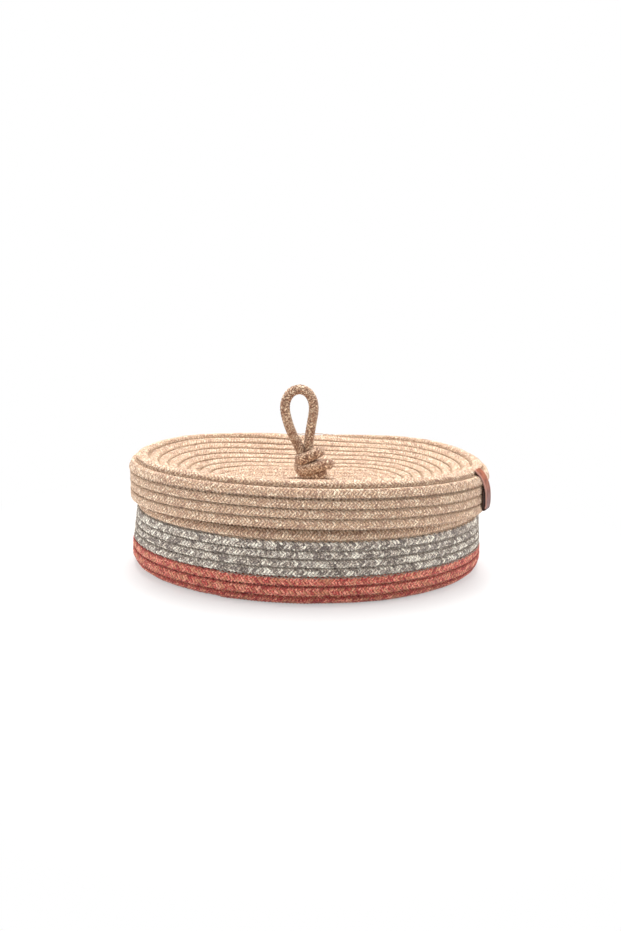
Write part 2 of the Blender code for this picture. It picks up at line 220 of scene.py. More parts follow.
def braid_height(p, q):
    """The height of a braid, from 0 to 1, in which each strand passes over two and under two."""
    lane = (np.floor(p) + np.floor(q)) % 4
    over = lane < 2
    across = np.where(over, p % 1, q % 1)
    along = (lane % 2 + np.where(over, q % 1, p % 1)) / 2
    crown = 1 - np.abs(2 * across - 1) ** STRAND_FULLNESS
    return crown * (1 - FLOAT_ARCH + FLOAT_ARCH * np.sin(math.pi * along))


def section(squareness, half_out, half_across):
    """A rounded section of unit half sizes, as evenly spaced places for a share of the way round."""
    angle = np.linspace(-math.pi, math.pi, SECTION_POINTS)
    cos, sin = np.cos(angle), np.sin(angle)
    out = np.sign(cos) * np.abs(cos) ** (2 / squareness)
    across = np.sign(sin) * np.abs(sin) ** (2 / squareness)
    lengths = np.hypot(np.diff(out * half_out), np.diff(across * half_across))
    shares = np.concatenate(([0], np.cumsum(lengths)))
    return shares / shares[-1], out, across


def wander(along, seed, amount):
    """A slow, uneven drift along a cord."""
    phases = np.random.default_rng(seed).uniform(0, 2 * math.pi, len(WAVE_LENGTHS))
    waves = [
        np.sin(along * 2 * math.pi / length + phase)
        for length, phase in zip(WAVE_LENGTHS, phases)
    ]
    return amount * sum(waves) / 2


def braided_tube(
    name, route, half_out, material, squareness=SQUARENESS, warp=None, opening=STITCH_OPENING
):
    """A braided cord as a closed tube along a route, with rounded ends. Its UV map "cord" holds the
    share of the way round and the metres along. A squared cord is sewn, and dented on one flank
    between the stitches."""
    along, place, run, out, half_across = route
    side = np.cross(run, out)
    table, table_out, table_across = section(squareness, half_out, half_across.mean())

    seed = sum(map(ord, name))
    place = place + out * wander(along, seed, ROUTE_WANDER)[:, None]
    thickness = half_out * (1 + wander(along, seed + 1, THICKNESS_WANDER))

    around = np.arange(AROUND) / AROUND
    share = (around + BRAID_TWIST * along[:, None]) % 1
    p = STRANDS * around + along[:, None] / STRAND_STEP + BRAID_PHASE
    q = STRANDS * around - along[:, None] / STRAND_STEP + BRAID_PHASE
    relief = 1 + (braid_height(p, q) - 0.5) * BRAID_RELIEF / half_out
    offset_out = np.interp(share, table, table_out) * thickness[:, None] * relief
    offset_across = np.interp(share, table, table_across) * half_across[:, None] * relief
    if squareness == SQUARENESS:
        flank = np.clip((np.interp(share, table, table_across) - 0.5) * FLANK_SLOPE, 0, 1)
        held = STITCH_HOLD * np.cos(along * math.pi / STRAND_STEP) ** 2
        dent = smoothstep(1 - held)[:, None] * flank
        offset_across += STITCH_SQUEEZE * flank - (opening + STITCH_SQUEEZE) * dent
        offset_out *= 1 - DENT_FLATTENING * dent
    rings = (
        place[:, None]
        + out[:, None] * offset_out[..., None]
        + side[:, None] * offset_across[..., None]
    )

    # Two rings round off each end
    ends = []
    for end, direction in ((0, -1), (-1, 1)):
        spokes = rings[end] - place[end]
        ends.append([
            spokes * size + place[end] + run[end] * direction * half_out * past
            for past, size in END_RINGS
        ])
    rings = np.concatenate([ends[0][::-1], rings, ends[1]])
    past = half_out * np.array([past for past, _ in END_RINGS])
    along = np.concatenate([along[0] - past[::-1], along, along[-1] + past])
    return tube_mesh(name, rings, along, material, warp)


def tube_mesh(name, rings, along, material, warp=None):
    """A closed tube through rings of points that run round it the right-handed way."""
    count, per_ring = rings.shape[:2]
    verts = np.concatenate([rings.reshape(-1, 3), rings[:1].mean(axis=1), rings[-1:].mean(axis=1)])
    if warp:
        verts = warp(verts)
    point = np.arange(per_ring)
    after = (point + 1) % per_ring
    ring = np.arange(count - 1)[:, None]
    corners = ((ring, point), (ring, after), (ring + 1, after), (ring + 1, point))
    quads = np.stack([at * per_ring + which for at, which in corners], axis=-1).reshape(-1, 4)
    quad_u = np.tile(np.stack([point, point + 1, point + 1, point], axis=-1), (count - 1, 1))

    tip = np.full(per_ring, len(verts) - 2)
    last = (count - 1) * per_ring
    caps = np.array([[tip, after, point], [tip + 1, last + point, last + after]])
    caps = caps.transpose(0, 2, 1).reshape(-1, 3)
    middle = point + 0.5
    cap_u = np.array([[middle, point + 1, point], [middle, point, point + 1]])
    u = np.concatenate([quad_u.reshape(-1), cap_u.transpose(0, 2, 1).reshape(-1)]) / per_ring
    ends = np.repeat([along[0], along[-1]], 3 * per_ring)
    v = np.concatenate([along[quads // per_ring].reshape(-1), ends])

    mesh = bpy.data.meshes.new(name)
    mesh.vertices.add(len(verts))
    mesh.vertices.foreach_set("co", verts.astype(np.float32).reshape(-1))
    loops = np.concatenate([quads.reshape(-1), caps.reshape(-1)])
    mesh.loops.add(len(loops))
    mesh.loops.foreach_set("vertex_index", loops.astype(np.int32))
    mesh.polygons.add(len(quads) + len(caps))
    starts = np.concatenate([np.arange(len(quads)) * 4, quads.size + np.arange(len(caps)) * 3])
    mesh.polygons.foreach_set("loop_start", starts.astype(np.int32))
    mesh.update(calc_edges=True)
    layer = mesh.uv_layers.new(name="cord")
    layer.uv.foreach_set("vector", np.stack([u, v], axis=-1).astype(np.float32).reshape(-1))
    mesh.shade_smooth()
    mesh.validate()
    mesh.materials.append(material)
    ob = bpy.data.objects.new(name, mesh)
    bpy.context.collection.objects.link(ob)
    return ob


def add_node(tree, kind, inputs=(), **settings):
    """A node with its settings, and its inputs by name or number as values or links."""
    made = tree.nodes.new(kind)
    for key, value in settings.items():
        setattr(made, key, value)
    for key, value in dict(inputs).items():
        if isinstance(value, bpy.types.NodeSocket):
            tree.links.new(value, made.inputs[key])
        else:
            made.inputs[key].default_value = value
    return made


def maths(tree, operation, *values):
    """The result of one sum on values or links."""
    return add_node(tree, "ShaderNodeMath", enumerate(values), operation=operation).outputs[0]


def mixed(tree, factor, a, b, blend="MIX"):
    """Two colours mixed by a factor."""
    made = add_node(
        tree,
        "ShaderNodeMix",
        {0: factor, 6: a, 7: b},
        data_type="RGBA",
        blend_type=blend,
        clamp_factor=True,
    )
    return made.outputs[2]


def ranged(tree, value, low, high, to_low=0.0, to_high=1.0, smooth=True):
    """A value's range mapped onto another."""
    made = add_node(
        tree,
        "ShaderNodeMapRange",
        {0: value, 1: low, 2: high, 3: to_low, 4: to_high},
        interpolation_type="SMOOTHSTEP" if smooth else "LINEAR",
    )
    return made.outputs[0]


def new_material(name):
    """A material, with its node tree and its Principled shader."""
    material = bpy.data.materials.new(name)
    material.use_nodes = True
    return material, material.node_tree, material.node_tree.nodes["Principled BSDF"]


# The last colour is painted shade, for the low places between the strands and the open stitch holes;
# the last amount sets how dark that painted shade is in the stitch holes
YARNS_AND_SHADE = ("Dark", "Base", "Light", "Fleck", "Hollow Shade")
AMOUNTS = ("Strand Contrast", "Ply Contrast", "Fleck Share", "Stitch Hole Shade")
SHADED_ARCH = 0.6  # as FLOAT_ARCH, for the shading between the strands
PLY_RELIEF, FIBRE_RELIEF = 0.2, 0.35  # shares of a strand's height
DRIFT_CONTRAST, PLY_CONTRAST = 0.6, 3.2
DENTED_FLANK = 0.72  # share of the way round where its middle is


def braided_cotton_group():
    """Strands of melange cotton yarn, braided two over and two under round a cord, with painted
    shade in the low places between the strands and in the open stitch holes. The numbers that shift
    a noise only keep it unlike the others."""
    group = bpy.data.node_groups.new("braided cotton", "ShaderNodeTree")
    for way, kind, names in (
        ("INPUT", "Color", YARNS_AND_SHADE),
        ("INPUT", "Float", AMOUNTS),
        ("OUTPUT", "Color", ["Color"]),
        ("OUTPUT", "Float", ["Height", "Roughness"]),
    ):
        for name in names:
            group.interface.new_socket(name, in_out=way, socket_type="NodeSocket" + kind)
    given = group.nodes.new("NodeGroupInput").outputs
    out = group.nodes.new("NodeGroupOutput").inputs

    def calc(operation, *values):
        return maths(group, operation, *values)

    uv = add_node(group, "ShaderNodeUVMap", uv_map="cord").outputs[0]
    u, v, _ = add_node(group, "ShaderNodeSeparateXYZ", {0: uv}).outputs
    turned = calc("MULTIPLY", u, STRANDS)
    travelled = calc("DIVIDE", v, STRAND_STEP)
    p = calc("ADD", turned, travelled)
    q = calc("SUBTRACT", turned, travelled)
    cell_p, cell_q = calc("FLOOR", p), calc("FLOOR", q)
    in_p, in_q = calc("SUBTRACT", p, cell_p), calc("SUBTRACT", q, cell_q)
    lane = calc("FLOORED_MODULO", calc("ADD", cell_p, cell_q), 4)
    over = calc("LESS_THAN", lane, 1.5)

    def chosen(if_over, if_under):
        blend = add_node(group, "ShaderNodeMix", {0: over, 2: if_under, 3: if_over})
        return blend.outputs[0]

    across = chosen(in_p, in_q)
    second = calc("FLOORED_MODULO", lane, 2)
    along = calc("MULTIPLY", calc("ADD", second, chosen(in_q, in_p)), 0.5)
    number = chosen(cell_p, cell_q)
    strand = calc("FLOORED_MODULO", number, STRANDS)
    strand = calc("MULTIPLY_ADD", over, 31.7, strand)
    running = chosen(q, p)
    first = calc("SUBTRACT", chosen(cell_q, cell_p), lane)
    place = add_node(
        group,
        "ShaderNodeCombineXYZ",
        {
            0: calc("FLOORED_MODULO", calc("ADD", number, first), 2 * STRANDS),
            1: calc("SUBTRACT", number, first),
            2: over,
        },
    ).outputs[0]
    one_float = add_node(
        group, "ShaderNodeTexWhiteNoise", {"Vector": place}, noise_dimensions="3D"
    ).outputs[0]

    # Each strand is high along its middle and over the middle of each float, with three plies
    off_middle = calc("ABSOLUTE", calc("MULTIPLY_ADD", across, 2, -1))
    crown = calc("SUBTRACT", 1, calc("POWER", off_middle, STRAND_FULLNESS))
    arch = calc("SINE", calc("MULTIPLY", along, math.pi))
    arch = calc("MULTIPLY_ADD", arch, SHADED_ARCH, 1 - SHADED_ARCH)
    height = calc("MULTIPLY", crown, arch)
    plies = calc("SINE", calc("MULTIPLY", across, PLIES * math.pi))
    plies = calc("MULTIPLY", calc("ABSOLUTE", plies), PLY_RELIEF)

    def yarn_noise(across, across_scale, along_scale, shift, detail=2.0):
        """Noise drawn out along each strand, different in every strand."""
        place = add_node(
            group,
            "ShaderNodeCombineXYZ",
            {
                0: calc("MULTIPLY_ADD", across, across_scale, shift),
                1: calc("MULTIPLY", running, along_scale),
                2: calc("MULTIPLY", strand, 5.3),
            },
        )
        made = add_node(
            group,
            "ShaderNodeTexNoise",
            {"Vector": place.outputs[0], "Scale": 1.0, "Detail": detail, "Roughness": 0.6},
        )
        return made.outputs[0]

    fibres = yarn_noise(across, 5, 1.6, 0)
    ply = calc("FLOOR", calc("MULTIPLY", across, PLIES))
    ply_tone = yarn_noise(ply, 3.7, 1.1, 71.3, 1.0)
    drift = yarn_noise(across, 0.5, 0.3, 17.3, 1.0)
    patch = yarn_noise(across, 0.4, 0.12, 43.1, 1.0)

    def swing(value, amount):
        return calc("MULTIPLY", calc("SUBTRACT", value, 0.5), amount)

    # The tone runs from dark yarn through the base colour to light yarn, with patches of flecks
    strand_swing = swing(one_float, given["Strand Contrast"])
    tone = calc("ADD", strand_swing, swing(drift, DRIFT_CONTRAST))
    ply_swing = calc("MULTIPLY", swing(ply_tone, PLY_CONTRAST), given["Ply Contrast"])
    tone = calc("ADD", tone, ply_swing)
    colour = mixed(group, ranged(group, tone, 0.05, 0.5), given["Base"], given["Light"])
    colour = mixed(group, ranged(group, tone, -0.05, -0.5), colour, given["Dark"])
    share = calc("MULTIPLY", ranged(group, patch, 0.46, 0.62), given["Fleck Share"])
    colour = mixed(group, share, colour, given["Fleck"])
    streak = ranged(group, fibres, 0.32, 0.68, 0.58, 1.4, smooth=False)
    grey_streak = add_node(group, "ShaderNodeCombineColor", {0: streak, 1: streak, 2: streak})
    colour = mixed(group, 1.0, colour, grey_streak.outputs[0], "MULTIPLY")
    # Painted shade: the low places between the strands are darkened towards the shade colour
    depth = ranged(group, height, 0.5, 0.05, 0.0, 0.9)
    colour = mixed(group, depth, colour, given["Hollow Shade"])

    # Painted shade darkens the groove where the sewing leaves it open, on the flank that is dented
    share = calc("FRACT", calc("MULTIPLY_ADD", v, BRAID_TWIST, u))
    off_flank = calc("ABSOLUTE", calc("SUBTRACT", share, DENTED_FLANK))
    wave = calc("COSINE", calc("MULTIPLY", v, 2 * math.pi / STRAND_STEP))
    hole_shade = calc("MULTIPLY", ranged(group, off_flank, 0.10, 0.06), ranged(group, wave, 0.3, -0.5))
    hole_shade = calc("MULTIPLY", hole_shade, given["Stitch Hole Shade"])
    colour = mixed(group, hole_shade, colour, given["Hollow Shade"])
    group.links.new(colour, out["Color"])
    relief = calc("ADD", height, plies)
    relief = calc("MULTIPLY_ADD", fibres, FIBRE_RELIEF, relief)
    group.links.new(relief, out["Height"])
    group.links.new(ranged(group, height, 0, 1, 0.98, 0.8, smooth=False), out["Roughness"])
    return group


BRAIDED_COTTON = braided_cotton_group()


def cotton(name, dark, base, light, fleck, hollow_shade, amounts):
    """A braided cotton material in its own yarn colours, and a colour for the painted shade in the
    low places between its strands and in its stitch holes. The amounts are the contrast between its
    strands and between their plies, the share of the fleck colour, and how dark the painted shade
    in the stitch holes is."""
    material, tree, shader = new_material(name)
    braid = add_node(tree, "ShaderNodeGroup", node_tree=BRAIDED_COTTON)
    for key, colour in zip(YARNS_AND_SHADE, (dark, base, light, fleck, hollow_shade)):
        braid.inputs[key].default_value = (*colour, 1)
    for key, value in zip(AMOUNTS, amounts):
        braid.inputs[key].default_value = value
    bump = add_node(
        tree,
        "ShaderNodeBump",
        {"Height": braid.outputs["Height"], "Strength": 0.9, "Distance": 0.0004},
    )
    tree.links.new(braid.outputs["Color"], shader.inputs["Base Color"])
    tree.links.new(braid.outputs["Roughness"], shader.inputs["Roughness"])
    tree.links.new(bump.outputs[0], shader.inputs["Normal"])
    shader.inputs["Specular IOR Level"].default_value = 0.25
    shader.inputs["Sheen Weight"].default_value = 0.15
    shader.inputs["Sheen Roughness"].default_value = 0.6
    return material


# Zigzag sewing threads, one in each groove between two rows, on the outside of the basket
STITCH_STEP = 0.0026
STITCH_HALF_WIDTH = 0.0010
THREAD_RADIUS = 0.00040
THREAD_SIDES = 5
THREAD_TWIST = 1400  # turns in a metre
# Painted shade: the thread is darker in the groove between its plies
THREAD_SHADE = 0.55  # share of its colour between its plies


def zigzag(name, parts, material, warp=None):
    """Threads that cross the grooves between rows from shoulder to shoulder. Each part is a coil,
    its first and last (row, degrees), and the thread's height over the cords' centre lines."""
    meshes = []
    for which, start, end, rise in parts:
        along, place, run, out, half = coil_route(which, start, end, STITCH_STEP, between=0.5)
        side = np.cross(run, out)
        swing = np.where(np.arange(len(along)) % 2, 1, -1) * STITCH_HALF_WIDTH
        centre = place + side * swing[:, None] + out * rise
        run = unit(np.gradient(centre, axis=0))
        up = square_to(run, out)
        side = np.cross(run, up)
        angle = np.arange(THREAD_SIDES)[:, None] * 2 * math.pi / THREAD_SIDES
        rings = (
            centre[:, None]
            + up[:, None] * np.cos(angle) * THREAD_RADIUS
            + side[:, None] * np.sin(angle) * THREAD_RADIUS
        )
        meshes.append(tube_mesh(name, rings, along, material, warp))
    first = meshes[0]
    if len(meshes) > 1:
        with bpy.context.temp_override(
            active_object=first, object=first, selected_editable_objects=meshes
        ):
            bpy.ops.object.join()
    return first


def thread(name, colour):
    """Plain sewing thread, twisted from two plies, with painted shade in the groove between them."""
    material, tree, shader = new_material(name)
    uv = add_node(tree, "ShaderNodeUVMap", uv_map="cord").outputs[0]
    place = add_node(tree, "ShaderNodeSeparateXYZ", {0: uv}).outputs
    turns = maths(tree, "MULTIPLY", place[0], 2)
    turns = maths(tree, "MULTIPLY_ADD", place[1], THREAD_TWIST, turns)
    twist = maths(tree, "SINE", maths(tree, "MULTIPLY", turns, 2 * math.pi))
    # The darker colour is painted shade between the plies
    dark = tuple(THREAD_SHADE * c for c in colour)
    shade = mixed(tree, ranged(tree, twist, -1, 1), (*dark, 1), (*colour, 1))
    tree.links.new(shade, shader.inputs["Base Color"])
    bump = add_node(tree, "ShaderNodeBump", {"Height": twist, "Strength": 0.6, "Distance": 0.0001})
    tree.links.new(bump.outputs[0], shader.inputs["Normal"])
    shader.inputs["Roughness"].default_value = 0.6
    return material


BASE_HEIGHT = 0.00276
FOOT_RADIUS = 0.008
WALL_INSET, FLAT_INSET = 0.0028, 0.0107  # from the skirt, and from the wall
WALL_WIDTH = OVAL_WIDTH - WALL_INSET
WALL_LEAN = 0.0017  # that the wall draws in by, up to its top
WALL_POINTS = 12
FLAT_ROWS = 11
FLAT_PITCH = (WALL_WIDTH - FLAT_INSET) / (FLAT_ROWS - 0.5)
FOOT_PITCH, CORAL_PITCH, GREY_PITCH, COLLAR_PITCH = 0.0082, 0.0077, 0.0066, 0.0087
CORAL_STEPS = [FOOT_PITCH, CORAL_PITCH, CORAL_PITCH]
GREY_STEPS = [(CORAL_PITCH + GREY_PITCH) / 2] + [GREY_PITCH] * 3
COLLAR_STEPS = [(GREY_PITCH + COLLAR_PITCH) / 2] + [COLLAR_PITCH] * 3
WALL_RISE = sum(CORAL_STEPS[1:] + GREY_STEPS)
SHOULDER = (0.0930, 0.0466)  # half-width and height where the wall turns in
COLLAR_FOOT = (0.0898, 0.0534)
COLLAR_RISE, COLLAR_SLOPE = 0.0348, 0.27


def body_profile():
    """The line that the body's rows follow: flat bottom, round foot, wall and drawn-in collar."""
    bends = np.radians(np.linspace(0, 90, WALL_POINTS + 1))
    foot_width = WALL_WIDTH - FOOT_RADIUS
    foot_top = BASE_HEIGHT + FOOT_RADIUS
    foot = [
        (foot_width + FOOT_RADIUS * math.sin(bend), foot_top - FOOT_RADIUS * math.cos(bend))
        for bend in bends
    ]
    shares = [point / WALL_POINTS for point in range(1, WALL_POINTS + 1)]
    wall = [(WALL_WIDTH - WALL_LEAN * share**2, foot_top + WALL_RISE * share) for share in shares]
    wall = [point for point in wall if point[1] < SHOULDER[1]]
    collar_top = (COLLAR_FOOT[0] - COLLAR_RISE * COLLAR_SLOPE, COLLAR_FOOT[1] + COLLAR_RISE)
    return profile([(0, BASE_HEIGHT), *foot, *wall, SHOULDER, COLLAR_FOOT, collar_top])


body = new_coil(body_profile(), FLAT_ROWS, FLAT_PITCH, CORAL_STEPS + GREY_STEPS + COLLAR_STEPS, 1)
GREY_ROW = FLAT_ROWS + len(CORAL_STEPS)
COLLAR_ROW = GREY_ROW + len(GREY_STEPS)
JOINT = 427.5  # degrees round a row where one colour of cord ends and the next begins

FLOOR_GAP = 0.00005
FOOT_SPREAD = 0.0026  # of the foot at each end
SPREAD_FROM, SPREAD_FADE = 0.012, 0.04  # height that it fades from, and over
BULGE = 0.0024  # of the collar's first row in front
BULGE_HEIGHT, BULGE_BAND = 0.0540, 0.0045
WALL_FROM = 0.8  # share of the body's half sizes, which leaves its bottom out


def settled_body(verts):
    """The soft body as it stands: its foot spread a little at the two ends, and the first row of
    the collar standing out under the raised front of the lid."""
    x, y, z = verts.T
    fade = 1 - smoothstep((z - SPREAD_FROM) / SPREAD_FADE)
    spread = FOOT_SPREAD * (x / OVAL_LENGTH) ** 3 * fade
    angle = np.arctan2(y / OVAL_WIDTH, x / OVAL_LENGTH)
    # 1 along the front, and 0 at the back and the right end
    front = smoothstep(0.35 - 0.8 * np.sin(angle) - 0.25 * np.cos(angle))
    bulge = BULGE * front * np.exp(-(((z - BULGE_HEIGHT) / BULGE_BAND) ** 2))
    bulge *= np.hypot(x / OVAL_LENGTH, y / OVAL_WIDTH) > WALL_FROM
    x, y = x + spread + bulge * np.cos(angle), y + bulge * np.sin(angle)
    return np.stack([x, y, np.maximum(z, FLOOR_GAP)], axis=1)


CORAL_HALF = 0.0033  # of the cord's thickness through the wall
BASE_THREAD, CORAL_THREAD = 0.0025, 0.0029  # heights of the threads over the rows' centre lines
coral = cotton(
    "coral cotton",
    dark=(0.28, 0.035, 0.035),
    base=(0.62, 0.105, 0.08),
    light=(0.88, 0.38, 0.27),
    fleck=(0.60, 0.32, 0.16),
    # painted shade between the strands and in the stitch holes
    hollow_shade=(0.16, 0.010, 0.008),
    amounts=(0.9, 1.3, 0.5, 0.9),
)
coral_base = braided_tube(
    "coral_base",
    coil_route(body, (0, ROW_START), (FLAT_ROWS - 1, ROW_END), STRAND_STEP * 2 / 3),
    BASE_HEIGHT,
    coral,
    warp=settled_body,
)
coral_wall = braided_tube(
    "coral_wall",
    coil_route(body, (FLAT_ROWS, ROW_START), (GREY_ROW - 1, JOINT), STRAND_STEP / 3),
    CORAL_HALF,
    coral,
    warp=settled_body,
)
coral_thread = zigzag(
    "coral_stitching",
    [
        (body, (0, ROW_START), (FLAT_ROWS - 1, ROW_END), BASE_THREAD),
        (body, (FLAT_ROWS, ROW_START), (GREY_ROW - 2, ROW_END), CORAL_THREAD),
    ],
    thread("coral thread", (0.52, 0.10, 0.075)),
    settled_body,
)
for piece in (coral_base, coral_wall, coral_thread):
    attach(piece, "basket")
    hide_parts("coral_cord")


# Grey cord. Four rows of a slightly thinner melange cord go on where the coral one ends, butted
# against it at the back and sewn on with the same zigzag.

GREY_HALF, GREY_THREAD = 0.0030, 0.0027
grey = cotton(
    "grey cotton",
    dark=(0.145, 0.115, 0.10),
    base=(0.56, 0.47, 0.385),
    light=(0.95, 0.90, 0.78),
    fleck=(0.26, 0.215, 0.205),
    # painted shade between the strands and in the stitch holes
    hollow_shade=(0.07, 0.055, 0.045),
    amounts=(1.2, 1.2, 0.35, 0.9),
)
grey_wall = braided_tube(
    "grey_wall",
    coil_route(body, (GREY_ROW - 1, JOINT), (COLLAR_ROW - 1, JOINT), STRAND_STEP / 3),
    GREY_HALF,
    grey,
    warp=settled_body,
)
grey_thread = zigzag(
    "grey_stitching",
    [(body, (GREY_ROW - 1, ROW_START), (COLLAR_ROW - 2, ROW_END), GREY_THREAD)],
    thread("grey thread", (0.40, 0.33, 0.27)),
    settled_body,
)
for piece in (grey_wall, grey_thread):
    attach(piece, "basket")
    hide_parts("grey_cord")


# Collar. The last rows of the body are a beige cord, butted against the grey one and sewn on in the
# same way, and drawn in so that the lid's skirt slips over them.

COLLAR_HALF, COLLAR_THREAD = 0.0032, 0.0029
COLLAR_END = COLLAR_ROW + len(COLLAR_STEPS) - 1
CORD_END = 420  # degrees round its last row where a cord ends
beige_yarns_and_shade = {
    "dark": (0.35, 0.205, 0.145),
    "base": (0.65, 0.43, 0.275),
    "light": (0.97, 0.82, 0.63),
    "fleck": (0.56, 0.34, 0.25),
    # painted shade between the strands and in the stitch holes
    "hollow_shade": (0.16, 0.07, 0.04),
}
beige = cotton("beige cotton", **beige_yarns_and_shade, amounts=(0.35, 1.1, 0.3, 0.9))
collar = braided_tube(
    "collar",
    coil_route(body, (COLLAR_ROW - 1, JOINT), (COLLAR_END, CORD_END), STRAND_STEP / 2),
    COLLAR_HALF,
    beige,
    warp=settled_body,
)
beige_thread = thread("beige thread", (0.72, 0.50, 0.34))
collar_thread = zigzag(
    "collar_stitching",
    [(body, (COLLAR_ROW - 1, ROW_START), (COLLAR_END - 1, CORD_END), COLLAR_THREAD)],
    beige_thread,
    settled_body,
)
for piece in (collar, collar_thread):
    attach(piece, "basket")
    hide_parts("collar_cord")


# Lid. One beige cord starts in the middle of the dish, coils out and up to the rim, and turns down
# into the skirt. Its first rows part round the handle's two legs.

LID_PITCH = 0.0085
LID_ROWS, SKIRT_ROWS = 12, 4
RIM_INSET = 0.0063  # of the rim's row from the skirt
RIM_WIDTH = OVAL_WIDTH - RIM_INSET
DISH_DEPTH = 0.0208
DISH_HEIGHT = 0.06845  # of the middle row's centre line
DISH_POINTS = 24
lid_line = [
    (RIM_WIDTH * point / DISH_POINTS, DISH_HEIGHT + DISH_DEPTH * (point / DISH_POINTS) ** 2)
    for point in range(DISH_POINTS + 1)
]
LID_FLAT_PITCH = profile(lid_line)[0][-1] / (LID_ROWS - 0.5)
skirt_top = DISH_HEIGHT + DISH_DEPTH - math.sqrt(LID_PITCH**2 - RIM_INSET**2)
lid_line += [(OVAL_WIDTH, skirt_top), (OVAL_WIDTH, skirt_top - SKIRT_ROWS * LID_PITCH)]
lid = new_coil(profile(lid_line), LID_ROWS, LID_FLAT_PITCH, [LID_PITCH] * SKIRT_ROWS, -1)

LEG_SLOT_HALF = 0.0034  # that the innermost rows move apart by, at the handle
SLOT_HALF_LENGTH = 0.017
SLOT_EDGE = 0.004  # half-width of the rows that move all the way
SLOT_ROWS = 3  # that the move fades out over


def parted(route):
    """A lid route with its innermost rows moved apart round the handle's legs."""
    along, place, run, out, half = route
    near = np.exp(-((place[:, 0] / SLOT_HALF_LENGTH) ** 4))
    width = np.abs(place[:, 1])
    fade = np.clip(1 - (width - SLOT_EDGE) / (SLOT_ROWS * LID_FLAT_PITCH), 0, 1)
    place = place.copy()
    place[:, 1] += np.sign(place[:, 1]) * LEG_SLOT_HALF * near * fade
    return along, place, run, out, half


MM = 0.001
HEM_HEIGHT, SKIRT_HEIGHT = 0.0546, 0.0344
HEM_WAVES = (2.975, -1.65, -2.8, -1.325)  # all round, ends, sides and twice round, in mm
RIM_FOLLOWS = 0.37  # share of the hem's rise that the rim has too
RIM_RISES = ((38, 30, 4.5), (142, 25, 2.4))  # middle and spread in degrees, height in mm
SKIRT_FROM, SKIRT_BAND = 0.88, 0.08  # shares of the lid's half sizes


def settled_lid(verts):
    """The soft lid as it sits, with its hem raised in front and at the left end, and its rim raised
    at the back towards both ends."""
    x, y, z = verts.T
    angle = np.arctan2(y / OVAL_WIDTH, x / OVAL_LENGTH)
    waves = (np.ones_like(angle), np.cos(angle), np.sin(angle), np.cos(2 * angle))
    hem = sum(height * wave for height, wave in zip(HEM_WAVES, waves))
    rim = RIM_FOLLOWS * hem
    for middle, spread, height in RIM_RISES:
        rim = rim + height * np.exp(-(((np.degrees(angle) - middle) / spread) ** 2))
    radius = np.hypot(x / OVAL_LENGTH, y / OVAL_WIDTH)
    down = 1 - np.clip((z - HEM_HEIGHT) / SKIRT_HEIGHT, 0, 1)
    rise = rim + (hem - rim) * down * smoothstep((radius - SKIRT_FROM) / SKIRT_BAND)
    return np.stack([x, y, z + MM * rise * np.clip(radius, 0, 1) ** 2], axis=1)


LID_HALF, LID_THREAD = 0.0033, 0.0031
MIDDLE_ROWS = 7
SKIRT_END = LID_ROWS + SKIRT_ROWS - 1
FIRST_SEWN_ROW = 3  # the rows inside it part round the handle's legs
BACK = 450  # degrees round a row where one piece of the lid goes on as the next
RIM_OPENING = 0.00035  # of the groove along the rim's own row, which is sewn tighter
# The rim's copy has less painted shade in its stitch holes, as its groove is sewn tighter
rim_beige = cotton("beige rim cotton", **beige_yarns_and_shade, amounts=(0.35, 1.1, 0.3, 0.2))
dish_middle = braided_tube(
    "lid_dish_middle",
    parted(coil_route(lid, (0, ROW_START), (MIDDLE_ROWS - 1, ROW_END), STRAND_STEP / 3)),
    LID_HALF,
    beige,
    warp=settled_lid,
)
dish_outer = braided_tube(
    "lid_dish_outer",
    coil_route(lid, (MIDDLE_ROWS, ROW_START), (LID_ROWS - 2, BACK), STRAND_STEP / 3),
    LID_HALF,
    beige,
    warp=settled_lid,
)
rim = braided_tube(
    "lid_rim",
    coil_route(lid, (LID_ROWS - 2, BACK), (LID_ROWS - 1, BACK), STRAND_STEP / 3),
    LID_HALF,
    rim_beige,
    warp=settled_lid,
    opening=RIM_OPENING,
)
skirt = braided_tube(
    "lid_skirt",
    coil_route(lid, (LID_ROWS - 1, BACK), (SKIRT_END, CORD_END), STRAND_STEP / 3),
    LID_HALF,
    beige,
    warp=settled_lid,
)
lid_thread = zigzag(
    "lid_stitching",
    [
        (lid, (FIRST_SEWN_ROW, ROW_START), (LID_ROWS - 1, ROW_END), LID_THREAD),
        (lid, (LID_ROWS, ROW_START), (SKIRT_END - 1, CORD_END), LID_THREAD),
    ],
    beige_thread,
    settled_lid,
)
for piece in (dish_middle, dish_outer, rim, skirt, lid_thread):
    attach(piece, "lid")
    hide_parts("lid_cord")


# Handle. A cord goes up through the middle of the dish, round in a loop and down again, with its
# ends sewn flat beneath. A second length winds round both legs as a knot.

HANDLE_RADIUS = 0.0040
LEG_HALF_SPACING = 0.00385
LEG_LEAN = 0.25  # that a leg moves to the left by, over its height
LID_TOP = DISH_HEIGHT + 0.00345
CURVE_STEPS = 12  # between two points of a route
LOOP_ROUTE = [
    (-0.0113, 0.0290),
    (-0.0164, 0.0385),
    (-0.0206, 0.0490),
    (-0.0230, 0.0590),
    (-0.0223, 0.0665),
    (-0.0184, 0.0730),
    (-0.0115, 0.0758),
    (-0.0048, 0.0735),
    (-0.0006, 0.0675),
    (0.0009, 0.0595),
    (-0.0002, 0.0490),
    (-0.0016, 0.0385),
    (-0.0023, 0.0290),
]
END_ROUTE = [
    (0.0042, -0.0070),
    (0.0057, -0.0106),
    (0.0092, -0.0129),
    (0.0142, -0.0131),
    (0.0200, -0.0119),
    (0.0265, -0.0110),
    (0.0330, -0.0108),
]
LEG_HEIGHTS = (0, 0.007, 0.014, 0.021)
LOOP_SHIFT = 0.0014  # that the soft loop leans to the left


